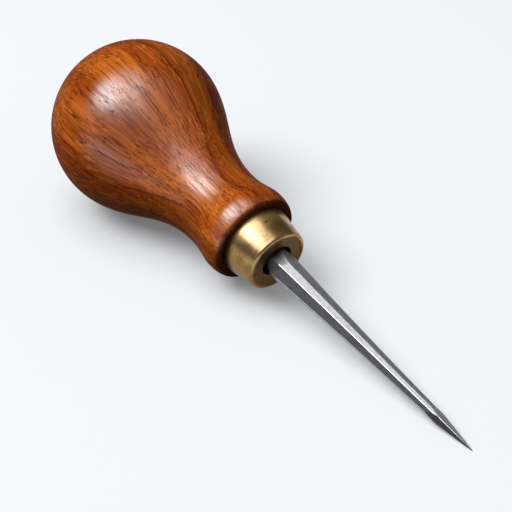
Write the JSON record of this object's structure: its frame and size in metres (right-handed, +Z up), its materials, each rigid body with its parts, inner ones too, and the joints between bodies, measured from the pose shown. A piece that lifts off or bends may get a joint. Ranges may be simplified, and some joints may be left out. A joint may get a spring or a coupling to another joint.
{
  "type": "bradawl",
  "caption": "Bradawl with a bulb-shaped turned hardwood handle, a tapered brass ferrule and a hollow-tapered square steel blade, lying on its bulb and its sharp point.",
  "frame": {"origin": "middle of the footprint on the ground, with the tool lying on its bulb and its tip", "axes": "+X along the tool towards the tip, +Z up, +Y to the left of the tool seen from the bulb"},
  "size_m": [0.1394, 0.0444, 0.0445],
  "materials": {
    "handle_wood": "satin lacquer over straight-grained red-brown hardwood",
    "ferrule_brass": "turned and lightly worn",
    "blade_steel": "dark flats with bright ground chamfers"
  },
  "bodies": {
    "root": {"handle": "handle_wood", "ferrule": "ferrule_brass", "blade": "blade_steel"}
  },
  "joints": []
}
